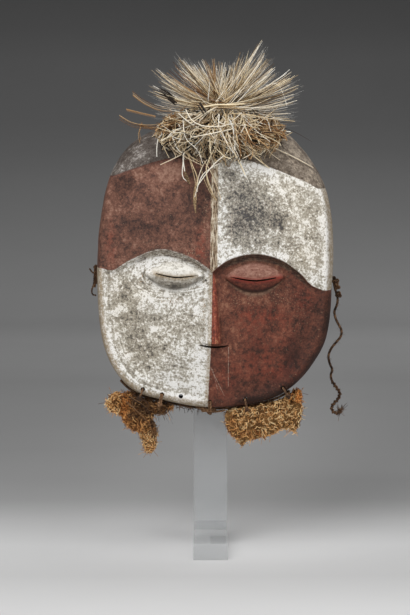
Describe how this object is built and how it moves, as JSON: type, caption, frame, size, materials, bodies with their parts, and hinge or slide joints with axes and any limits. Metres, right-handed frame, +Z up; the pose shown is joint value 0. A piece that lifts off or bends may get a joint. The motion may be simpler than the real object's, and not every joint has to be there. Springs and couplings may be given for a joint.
{
  "type": "carved wooden face mask on a stand",
  "caption": "Painted wooden face mask with quartered red and white face, closed eyes, a straw tuft on the crown and fibre beards, held up on a clear post and foot.",
  "frame": {"origin": "on the post's axis, at the underside of the stand's foot", "axes": "+Z up, the face looks to -Y, +X is to the right as one looks at the face"},
  "size_m": [0.3008, 0.1633, 0.5936],
  "materials": {
    "painted_wood": "worn matte paint",
    "straw": "dry straw and quills",
    "coir": "curly plant fibre",
    "cord": "twisted plant fibre, dark with age",
    "acrylic": "clear, polished"
  },
  "bodies": {
    "root": {"mask": "painted_wood", "crown_tuft": "straw", "beard_left": "coir", "beard_right": "coir", "rim_cord": "cord", "side_tie_left": "cord", "side_tie_right": "cord", "hanging_cord": "cord", "stand_post": "acrylic", "stand_foot": "acrylic", "lashing_1": "cord", "lashing_2": "cord", "lashing_3": "cord", "lashing_4": "cord", "lashing_5": "cord"}
  },
  "joints": []
}
